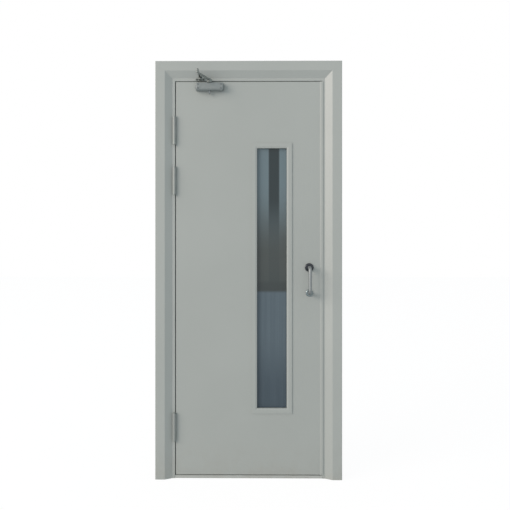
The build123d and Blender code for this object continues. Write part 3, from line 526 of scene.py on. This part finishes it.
def surface(name, grids, finish, body):
    """One object from closed grids of points (rows, ring, 3).
    A grid whose last row repeats its first is a closed loop. Any other gets a cap at
    each end. Repeated points are merged and all faces turned outward."""
    points, faces = [], []
    for grid in grids:
        rows, ring, _ = grid.shape
        sides = (grid_faces(rows, ring) + len(points)).tolist()
        first = range(len(points), len(points) + ring)
        last = range(len(points) + (rows - 1) * ring, len(points) + rows * ring)
        caps = [] if np.allclose(grid[0], grid[-1]) else [list(first), list(last)]
        faces += sides + caps
        points += grid.reshape(-1, 3).tolist()
    mesh = bpy.data.meshes.new(name)
    mesh.from_pydata(points, [], faces)
    work = bmesh.new()
    work.from_mesh(mesh)
    bmesh.ops.remove_doubles(work, verts=work.verts, dist=merge_distance)
    bmesh.ops.recalc_face_normals(work, faces=work.faces)
    work.to_mesh(mesh)
    work.free()
    mesh.polygons.foreach_set("use_smooth", np.ones(len(mesh.polygons), bool))
    mesh.set_sharp_from_angle(angle=crease_angle)
    piece = bpy.data.objects.new(name, mesh)
    bpy.context.scene.collection.objects.link(piece)
    dress(piece, finish)
    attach(piece, body)
    return piece


print("a 3 by 4 grid has", len(grid_faces(3, 4)), "faces")

# %% [markdown]
# ## The bar of the pull handle
# The handle is one round bar bent twice. Its centre line is a U with rounded corners:
# straight pieces joined by quarter circles. A ring of points is carried along that
# line, always square to it. The sizes are read from the solid's own box, so the new
# bar lies exactly where the old one was.


# %% A bent bar
def rounded_path(corners, radius, arc_points=16):
    """A path through corners with each inner corner rounded.
    An arc starts on its first run, radius * tan(half turn) before the corner; its
    points are start + radius * (inward * (1 - cos a) + forward * sin a)."""
    corners = np.array(corners, float)
    runs = [corners[:1]]
    for before, corner, after in zip(corners[:-2], corners[1:-1], corners[2:]):
        back = (before - corner) / np.linalg.norm(before - corner)
        ahead = (after - corner) / np.linalg.norm(after - corner)
        swing = pi - np.arccos(np.clip(back @ ahead, -1, 1))
        start = corner + back * radius * tan(swing / 2)
        inward = ahead - back * (ahead @ back)
        inward /= np.linalg.norm(inward)
        angles = np.linspace(0, swing, arc_points)[:, None]
        offset = inward * (1 - np.cos(angles)) - back * np.sin(angles)
        runs.append(start + radius * offset)
    runs.append(corners[-1:])
    return np.concatenate(runs)


def carried_ring(path, side, half_side, half_up, ring=40):
    """An oval ring carried along a flat path.
    Each point is path + side * half_side * cos a + up * half_up * sin a, where up is
    the cross product of the path's direction and the side."""
    direction = np.gradient(path, axis=0)
    direction /= np.linalg.norm(direction, axis=1, keepdims=True)
    up = np.cross(direction, side)
    angles = np.linspace(0, 2 * pi, ring, endpoint=False)[None, :, None]
    sideways = side[None, None] * half_side * np.cos(angles)
    return path[:, None] + sideways + up[:, None] * half_up * np.sin(angles)


bar_low, bar_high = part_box("pull_handle")
bar_radius = (bar_high.x - bar_low.x) / 2
bar_x = (bar_high.x + bar_low.x) / 2
foot_y, grip_y = bar_high.y, bar_low.y + bar_radius
low_z, high_z = bar_low.z + bar_radius, bar_high.z - bar_radius
bend_radius = 20 * MM
bar_turns = [(foot_y, low_z), (grip_y, low_z), (grip_y, high_z), (foot_y, high_z)]
bar_line = rounded_path([(bar_x, y, z) for y, z in bar_turns], bend_radius)
bar_grid = carried_ring(bar_line, X_AXIS, bar_radius, bar_radius)
pull_bar = surface("pull_bar", [bar_grid], bright_chrome, "leaf")
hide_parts("pull_handle")
print("bar", round(bar_radius / MM, 2), "mm in radius,", len(bar_line), "rings")

# %% [markdown]
# ## Roses
# A rose is the round cover at each end of the bar. It is turned metal: one profile spun
# round the bar's axis. The profile is a quarter of a superellipse, nearly flat near the
# bar and rolling over quickly at the rim, which is what a pressed cover looks like.


# %% Spun covers
def spun(profile, centre, axis, side, turns=64):
    """A closed profile spun round an axis: a full turn whose end meets its start.
    Each point is centre + height * axis + radius * (side * cos a + other * sin a),
    where other is the cross product of the axis and the side."""
    angles = np.linspace(0, 2 * pi, turns + 1)[:, None, None]
    radius, height = profile[None, :, :1], profile[None, :, 1:]
    other = np.cross(axis, side)
    return centre + height * axis + radius * (side * np.cos(angles) + other * np.sin(angles))


def rose_profile(inner, outer, thickness, power=4.0, points=22):
    """From the bar outward the height is thickness * (1 - u ** power) ** (1 / power),
    where u runs from 0 at the bar to 1 at the rim; the back is flat."""
    u = np.sin(np.linspace(0, pi / 2, points))
    radius = inner + (outer - inner) * u
    height = thickness * (1 - u**power) ** (1 / power)
    return np.stack((np.append(inner, radius), np.append(0.0, height)), -1)


bar_clearance = 0.3 * MM


def rose(name, node, finish):
    """Makes one rose in the box of the solid that it stands for."""
    low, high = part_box(node)
    centre = np.array(((low.x + high.x) / 2, high.y, (low.z + high.z) / 2))
    profile = rose_profile(bar_radius + bar_clearance, (high.x - low.x) / 2, high.y - low.y)
    grid = spun(profile, centre, -Y_AXIS, X_AXIS)
    cover = surface(name, [grid], finish, "leaf")
    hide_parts(node)
    return cover


# The upper rose's near black tone and the lower rose's blue-grey tone are painted reflections;
# both are the same chrome.
upper_rose = rose("upper_rose", "handle_rose_upper", painted_dark_reflection_chrome)
lower_rose = rose("lower_rose", "handle_rose_lower", painted_blue_reflection_chrome)
print("roses with", len(upper_rose.data.polygons), "faces each")

# %% [markdown]
# ## The overlap strip
# A flat strip of sheet is welded along the lock edge of the leaf and covers the gap
# when the door is shut. Its long inner edge is ground to a flat bevel, which catches
# the light as a thin pale line from top to bottom. The solid has a small round there,
# too narrow to show, so the strip is made again: its section, seen from above, is
# drawn once and carried straight up.


# %% A strip with a ground edge
bevel_width, bevel_depth = 3.4 * MM, 1.7 * MM
edge_radius = 1.0 * MM


def overlap_strip():
    """The section in plan, stood at the foot and at the top of the strip.
    The right front edge is a quarter circle: centre + radius * (cos a, -sin a)."""
    low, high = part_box("lock_edge_strip")
    quarter = np.linspace(pi / 2, 0, 6)
    round_x = high.x - edge_radius + edge_radius * np.cos(quarter)
    round_y = low.y + edge_radius - edge_radius * np.sin(quarter)
    x = np.concatenate(((low.x, low.x, low.x + bevel_width), round_x, (high.x,)))
    y = np.concatenate(((high.y, low.y + bevel_depth, low.y), round_y, (high.y,)))
    section = np.stack((x, y, 0 * x), -1)
    grid = np.stack((section + Z_AXIS * low.z, section + Z_AXIS * high.z))
    strip = surface("overlap_strip", [grid], leaf_paint, "leaf")
    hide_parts("lock_edge_strip")
    return strip


print("strip", [round(v / MM, 1) for v in overlap_strip().dimensions], "mm")

# %% [markdown]
# ## The forged arm of the closer
# The closer turns a forged arm: a round hub on the spindle, a blade that narrows
# towards the elbow, and a low boss where the second arm is pinned. Forging leaves soft
# edges all round. One sculpted skin over all three would be hard to keep on its two
# axes, so it is three closed shells that meet inside the metal. Hub and boss are
# sections spun as the roses are, with room for the spindle and its screw in the hub.


# %% Where the arm turns
def plan_middle(node, height=0.0):
    """The middle of a node's box seen from above, at a given height."""
    low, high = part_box(node)
    return np.array(((low.x + high.x) / 2, (low.y + high.y) / 2, height))


hub_low, hub_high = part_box("main_arm")
arm_screw_low, arm_screw_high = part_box("arm_screw")
spindle_low, spindle_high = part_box("closer_spindle")
spindle_middle, elbow_middle = plan_middle("closer_spindle"), plan_middle("elbow_screw")
hub_radius = hub_high.x - spindle_middle[0]
boss_radius = elbow_middle[1] - hub_low.y
arm_top = arm_screw_high.z
fit = 0.2 * MM
bore = (spindle_high.x - spindle_low.x) / 2 + fit
print("radius of hub and boss", [round(r / MM, 1) for r in (hub_radius, boss_radius)], "mm")


# %% Hub and boss
def hub_grid(soft=1.5 * MM, cut=0.3):
    """The hub's section spun round the spindle. Each outer corner is cut in two steps:
    soft is how far the cut reaches, and cut is the part of it where the steps meet."""
    socket = (arm_screw_high.x - arm_screw_low.x) / 2 + fit
    shoulder = arm_screw_low.z - fit
    foot, near, inner = hub_low.z, soft * cut, hub_radius - soft
    section = [
        (bore, foot), (inner, foot), (hub_radius - near, foot + near),
        (hub_radius, foot + soft), (hub_radius, arm_top - soft),
        (hub_radius - near, arm_top - near), (inner, arm_top),
        (socket, arm_top), (socket, shoulder), (bore, shoulder),
    ]
    return spun(np.array(section), spindle_middle, Z_AXIS, X_AXIS)


def boss_grid(inset=0.6 * MM, sunk=1.0 * MM, hole=0.5 * MM, cut=0.5 * MM):
    """The boss over the elbow: it starts inside the blade, and its upper edge is cut.
    A fine hole at its axis keeps the spun faces four-cornered."""
    outer, foot, top = boss_radius - inset, arm_top - sunk, hub_high.z
    section = [(hole, foot), (outer, foot), (outer, top - cut), (outer - cut, top), (hole, top)]
    return spun(np.array(section), elbow_middle, Z_AXIS, X_AXIS)


print("hub and boss grids", hub_grid().shape, boss_grid().shape)


# %% [markdown]
# ### The blade
# The blade could be its outline pulled up and bevelled, but a bevel of one width looks
# machined. A row of superellipses, which are rectangles with soft corners, keeps the
# corners in proportion to the width, and the width follows the outline of the arm seen
# from above.


# %% Blade
blade_thickness = 6.0 * MM
blade_halves = (9.5 * MM, 4.0 * MM)
corner_power = 0.4


def blade_grid():
    """Superellipses carried from the spindle to the elbow. The half width at s along
    the arm is the larger of a straight taper and the circle of the boss, which is
    sqrt(radius ** 2 - (s - length) ** 2)."""
    reach = elbow_middle - spindle_middle
    length = np.linalg.norm(reach)
    along = reach / length
    across = np.cross(Z_AXIS, along)
    rounding = np.sin(np.linspace(0, pi / 2, 16)[:-1])
    straight = np.linspace(bore + 2 * MM, length - boss_radius, 40)
    s = np.concatenate((straight, length + boss_radius * (rounding * 2 - 1)[1:]))
    taper = np.interp(s, (0, length), blade_halves)
    circle = np.sqrt(np.clip(boss_radius**2 - (s - length) ** 2, 0, None))
    half_width = np.where(s < length, np.maximum(taper, circle), circle)
    angles = np.linspace(0, 2 * pi, 40, endpoint=False)
    soft_cos = np.sign(np.cos(angles)) * np.abs(np.cos(angles)) ** corner_power
    soft_sin = np.sign(np.sin(angles)) * np.abs(np.sin(angles)) ** corner_power
    line = spindle_middle + s[:, None] * along + Z_AXIS * (arm_top - blade_thickness / 2)
    wide = half_width[:, None, None] * soft_cos[:, None] * across
    return line[:, None] + wide + soft_sin[:, None] * Z_AXIS * blade_thickness / 2


arm_grids = [hub_grid(), blade_grid(), boss_grid()]
forged_arm = surface("forged_arm", arm_grids, arm_paint, "main_arm")
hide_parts("main_arm")
print("arm", len(forged_arm.data.polygons), "faces")

# %% [markdown]
# ## The thread of the adjusting rod
# The second arm is set to length by a threaded rod and a lock nut. The rod's solid is
# smooth. Its thread could be faked with a striped bump, but seen from the side it
# shows in the rod's outline, which only real geometry gives. A thread is a tube whose
# radius rises and falls with the turn and with the way along together, so that the
# crest runs round as a helix.


# %% A helical thread
thread_pitch = 1.5 * MM
thread_core, thread_crest = 2.9 * MM, 0.5 * MM
plain_neck = 16 * MM
rings_per_turn, ring_points = 8, 24


def rod_thread():
    """Each point is start + s * along + radius * (side * cos a + up * sin a), where s
    is the way along the rod. The radius is core + crest * (1 + cos(2 pi s / pitch - a))
    / 2, and the crest fades to nothing over two turns at both ends."""
    nut_low, nut_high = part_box("forearm_nut")
    height = (nut_low.z + nut_high.z) / 2
    shoe, elbow = plan_middle("shoe_pin", height), plan_middle("elbow_screw", height)
    along = (shoe - elbow) / np.linalg.norm(shoe - elbow)
    side = np.cross(along, Z_AXIS)
    length = shoe[1] - plain_neck - nut_high.y
    rings = int(length / thread_pitch * rings_per_turn)
    s = np.linspace(0, length, rings)[:, None, None]
    angles = np.linspace(0, 2 * pi, ring_points, endpoint=False)[None, :, None]
    fade = np.clip(np.minimum(s, length - s) / (2 * thread_pitch), 0, 1)
    wave = (1 + np.cos(2 * pi * s / thread_pitch - angles)) / 2
    radius = thread_core + thread_crest * fade * wave
    start = shoe - along * (plain_neck + length)
    grid = start + s * along + radius * (side * np.cos(angles) + Z_AXIS * np.sin(angles))
    return surface("rod_thread", [grid], dark_steel, "forearm")


print("thread", len(rod_thread().data.polygons), "faces")

# %% [markdown]
# ## Welds at the corners of the frame
# The jambs meet the head at 45 degrees. The joint is welded, ground nearly flat and
# painted, and still shows as a hair line in low light. It is a very flat oval bead
# carried along the frame's own section in the plane of the mitre.

# %% Ground welds
outer_low, outer_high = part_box("frame_head")
face_width, strip_inset, strip_edge = 48 * MM, 84 * MM, 98 * MM
slope_depth = 17.5 * MM
slope_corners = (face_width, 0), (strip_inset, slope_depth), (strip_edge, slope_depth)
slope_line = np.array([(0, 0), *slope_corners])
fold_radius = 3 * MM
weld_half_width = 0.8 * MM
weld_height = 0.2 * MM


def ground_weld(name, side):
    """A bead along the frame's section where a jamb meets the head."""
    inward, depth = slope_line.T
    edge = outer_high.x if side > 0 else outer_low.x
    corners = np.stack((edge - side * inward, outer_low.y + depth, outer_high.z - inward), -1)
    path = rounded_path(corners, fold_radius, arc_points=6)[1:]
    across = np.array((-side, 0, 1)) / np.sqrt(2)
    bead = carried_ring(path, across, weld_half_width, weld_height, ring=12)
    return surface(name, [bead], frame_paint, "frame")


welds = [ground_weld("weld_hinge_corner", -1), ground_weld("weld_lock_corner", 1)]
print("welds", [weld.name for weld in welds])

# %% [markdown]
# ## Light
# One very large soft lamp stands far out to the left, in front of the door and a little
# above it, so that it grazes the face: the slope on the right catches it, the slope on
# the left turns away, and hinges, handle and closer throw wide soft shadows to the
# right. A near lamp would light the head more than the foot; its great distance keeps
# the light even. It is a little warm.

# %% Lamp
lamp_angle = radians(34)
lamp_rise = radians(19)
lamp_distance = 24.0
spread_across = radians(21)
spread_up = radians(17)
lamp_power = 3800
warm_tint = (1.13, 0.99, 0.91)
lamp_target = Vector((0, face_y, 1.1))
level_part = cos(lamp_rise)
lamp_side, lamp_front = -cos(lamp_angle) * level_part, -sin(lamp_angle) * level_part
to_lamp = Vector((lamp_side, lamp_front, sin(lamp_rise)))
lamp_data = bpy.data.lights.new("window", "AREA")
lamp_data.shape = "ELLIPSE"
lamp_data.size = 2 * lamp_distance * tan(spread_across)
lamp_data.size_y = 2 * lamp_distance * tan(spread_up)
lamp_data.energy = lamp_power
lamp_data.color = warm_tint
lamp = bpy.data.objects.new("window", lamp_data)
lamp.location = lamp_target + to_lamp * lamp_distance
lamp.rotation_euler = to_lamp.to_track_quat("Z", "Y").to_euler()
bpy.context.scene.collection.objects.link(lamp)
print("lamp at", tuple(round(v, 2) for v in lamp.location))

# %% [markdown]
# ## Light from all round
# The rest of the light comes from every side, as from the walls of a pale room. It is
# a little cool, so that lamp and room together are neutral on a flat face and the
# shadows turn slightly blue. What the eye, the chrome and the glass see behind the door
# is plain white. More light could whiten the background too, but it would wash out the
# paint, so the kind of ray decides instead.

# %% World
ambient = 0.575
cool_tint = (0.9, 1.01, 1.08, 1)
plain_white = (1, 1, 1, 1)
world = bpy.data.worlds.new("studio")
world.use_nodes = True
world.node_tree.nodes.clear()
bpy.context.scene.world = world
room = Wire(world.node_tree)
seen = room.node("ShaderNodeLightPath", out="Is Camera Ray")
for ray in ("Is Glossy Ray", "Is Transmission Ray"):
    seen = seen + room.node("ShaderNodeLightPath", out=ray)
seen = step(seen, 0.0, 1.0)
tint = mixed(seen, cool_tint, plain_white)
level = seen * (1 - ambient) + ambient
glow = room.node("ShaderNodeBackground", None, {"Color": tint, "Strength": level})
room.node("ShaderNodeOutputWorld", None, {"Surface": glow})
bpy.context.scene.view_settings.view_transform = "Standard"
print("world", world.name, "at", ambient, "of white")

# %% [markdown]
# ## Floor
# The door stands on pale paper. It is whitened for the eye alone, so that it melts into
# the background and still keeps a little of the door's shadow. It lies half a
# millimetre low, so that it never fights with the underside of the threshold.

# %% Floor
paper_grey = (0.86, 0.86, 0.86, 1)
floor_white, whitened = 1.03, 0.92
floor_half, floor_level = 14.0, -0.5 * MM

floor_material, ground = new_finish("pale_floor")
paper = ground.node("ShaderNodeBsdfDiffuse", None, {"Color": paper_grey})
white = ground.node("ShaderNodeEmission", None, {"Color": plain_white, "Strength": floor_white})
eye_ray = ground.node("ShaderNodeLightPath", out="Is Camera Ray")
shaders = {0: eye_ray * whitened, 1: paper, 2: white}
floor_mix = ground.node("ShaderNodeMixShader", None, shaders)
ground.node("ShaderNodeOutputMaterial", None, {"Surface": floor_mix})

floor_mesh = bpy.data.meshes.new("floor")
floor_signs = [(-1, -1), (1, -1), (1, 1), (-1, 1)]
floor_corners = [(x * floor_half, y * floor_half, floor_level) for x, y in floor_signs]
floor_mesh.from_pydata(floor_corners, [], [(0, 1, 2, 3)])
floor = bpy.data.objects.new("floor", floor_mesh)
bpy.context.scene.collection.objects.link(floor)
dress(floor, floor_material)
print("floor", 2 * floor_half, "m square")

# %% [markdown]
# ## The size of the door
# The dressed door has to keep the size of the bare model.
